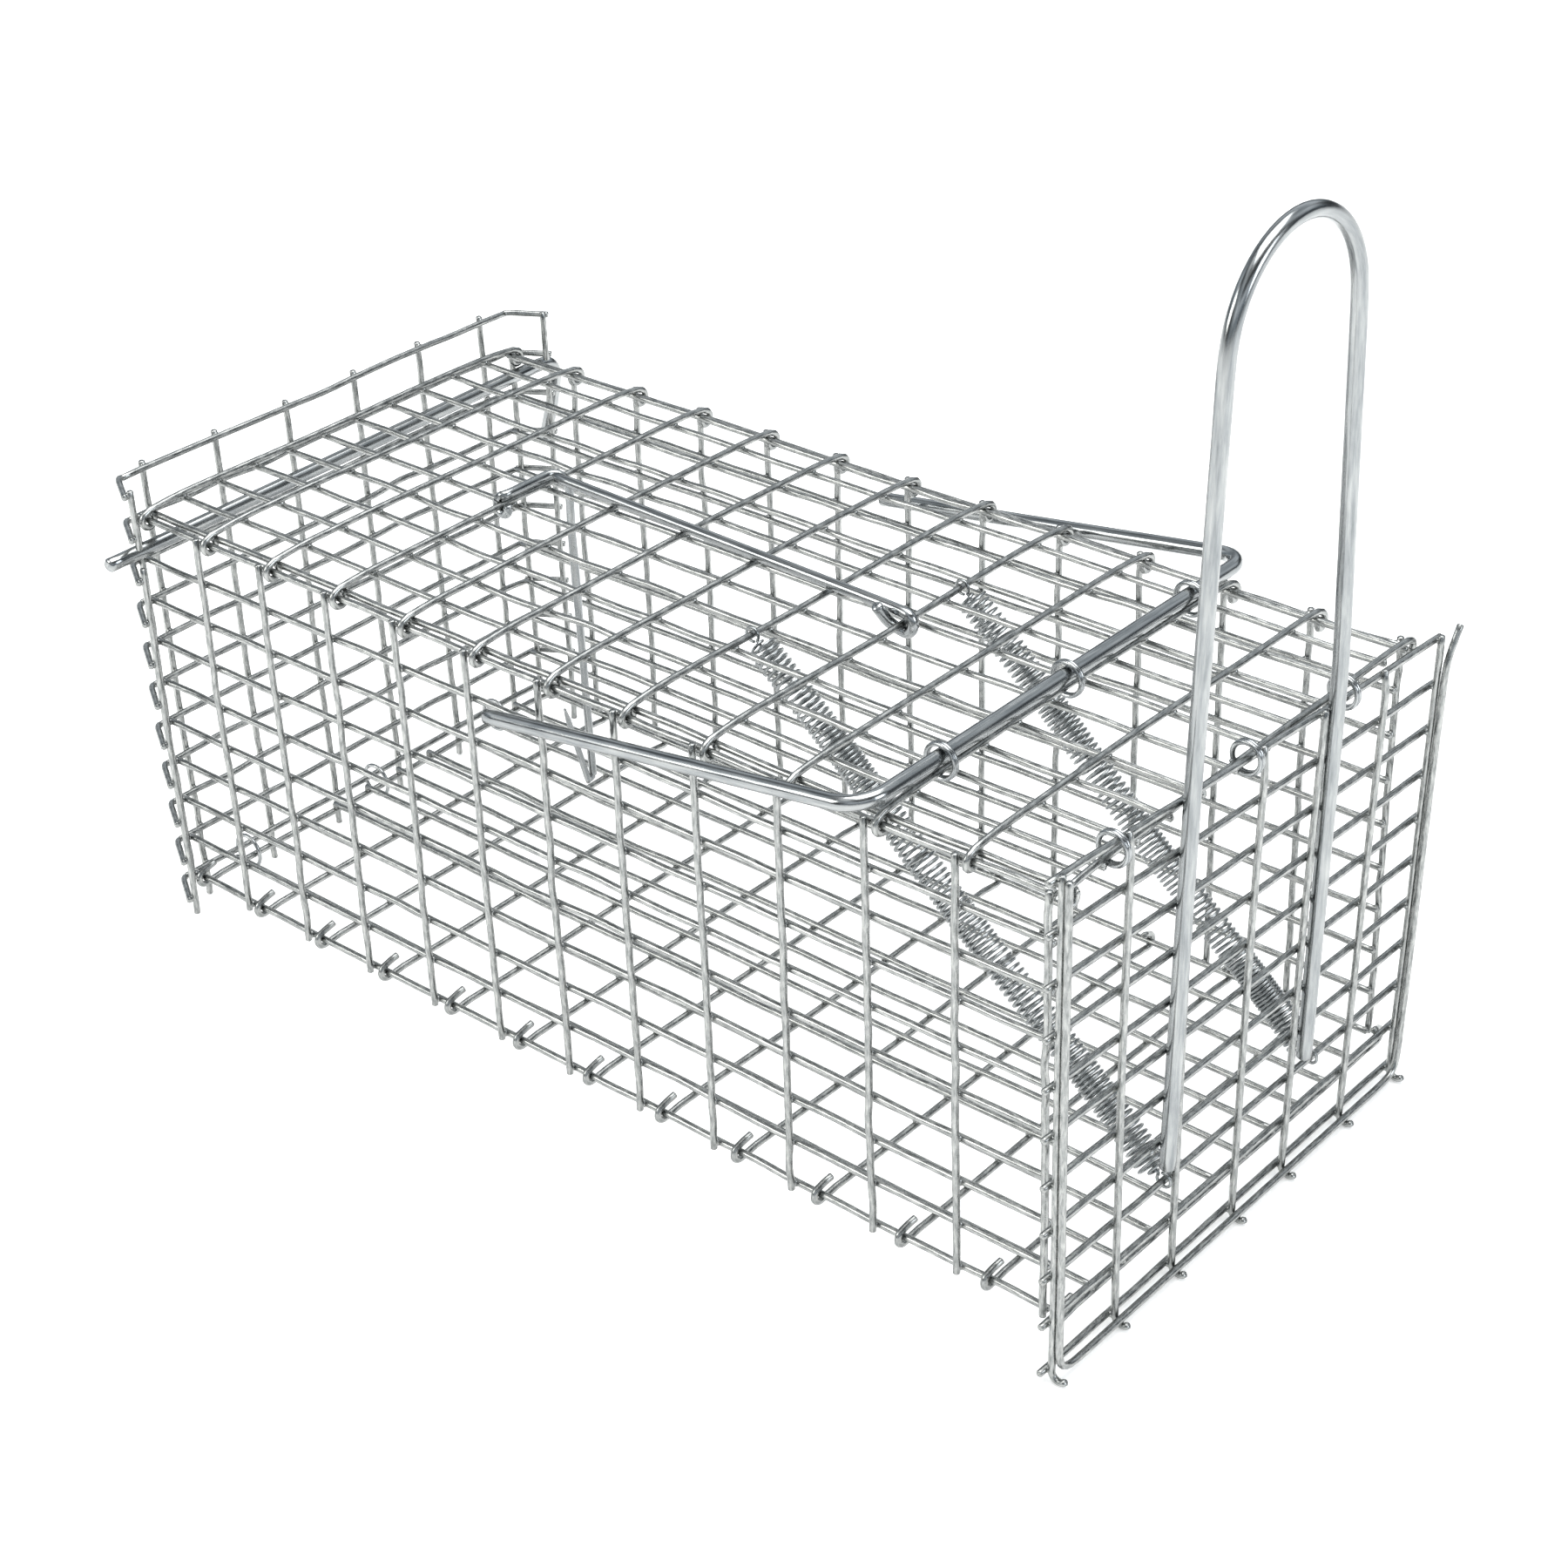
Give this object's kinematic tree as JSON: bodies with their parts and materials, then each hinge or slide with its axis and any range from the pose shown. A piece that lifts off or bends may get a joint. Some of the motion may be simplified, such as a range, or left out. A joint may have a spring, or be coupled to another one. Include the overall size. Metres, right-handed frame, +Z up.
{
  "type": "live catch trap",
  "caption": "Long cage trap of welded wire mesh with a sprung front door, setting handle, latch rod, hanging bait hook and a rear door locked by a sliding rod.",
  "frame": {"origin": "centre of the whole trap's bounding box in X and Y, on the surface it stands on", "axes": "+X along the cage towards the sprung front door, +Y across the cage towards the locking rod's pull, +Z up"},
  "size_m": [0.3224, 0.1721, 0.2606],
  "materials": {
    "mesh_wire": "bright zinc-plated wire",
    "rod_wire": "bright zinc-plated rod",
    "spring_wire": "zinc-plated spring wire",
    "ring_wire": "zinc-plated clip wire"
  },
  "bodies": {
    "cage": {"left_wall": "mesh_wire", "right_wall": "mesh_wire", "roof_panel": "mesh_wire", "floor_panel": "mesh_wire", "left_spring": "spring_wire", "right_spring": "spring_wire", "rear_hinge_ring_left": "ring_wire", "rear_hinge_ring_middle": "ring_wire", "rear_hinge_ring_right": "ring_wire", "swing_bar_ring_left": "ring_wire", "swing_bar_ring_middle": "ring_wire", "swing_bar_ring_right": "ring_wire"},
    "front_door": {"front_door_mesh": "mesh_wire", "front_door_frame_wire": "mesh_wire", "front_hinge_ring_left": "ring_wire", "front_hinge_ring_middle": "ring_wire", "front_hinge_ring_right": "ring_wire", "setting_handle": "rod_wire"},
    "latch": {"latch_rod": "rod_wire"},
    "bait": {"bait_hook": "rod_wire"},
    "bar": {"swing_bar": "rod_wire"},
    "rear_door": {"rear_door_panel": "mesh_wire", "rear_door_left_flange": "mesh_wire", "rear_door_right_flange": "mesh_wire"},
    "lock": {"locking_rod": "rod_wire"}
  },
  "joints": [
    {"name": "front_door_hinge", "type": "hinge", "parent": "cage", "child": "front_door", "pos_m": [0.1521, 0, 0.1298], "axis": [0, -1, 0], "range_deg": [0, 86], "stiffness_Nm_per_rad": 0.3, "springref_deg": -80.21, "deforming": ["left_spring", "right_spring"]},
    {"name": "latch_pivot", "type": "hinge", "parent": "cage", "child": "latch", "pos_m": [0.0505, 0, 0.1298], "axis": [0, 1, 0], "range_deg": [0, 120]},
    {"name": "bait_pivot", "type": "hinge", "parent": "cage", "child": "bait", "pos_m": [-0.0765, 0, 0.1298], "axis": [0, 1, 0], "range_deg": [-35, 35]},
    {"name": "swing_bar_pivot", "type": "hinge", "parent": "cage", "child": "bar", "pos_m": [0.1013, 0, 0.1331], "axis": [0, 1, 0], "range_deg": [-75, 155]},
    {"name": "rear_door_hinge", "type": "hinge", "parent": "cage", "child": "rear_door", "pos_m": [-0.1557, 0, 0.0105], "axis": [0, -1, 0], "range_deg": [0, 90]},
    {"name": "locking_rod_slide", "type": "slide", "parent": "cage", "child": "lock", "axis": [0, 0.9999, 0.0131], "range_m": [0, 0.175]}
  ]
}
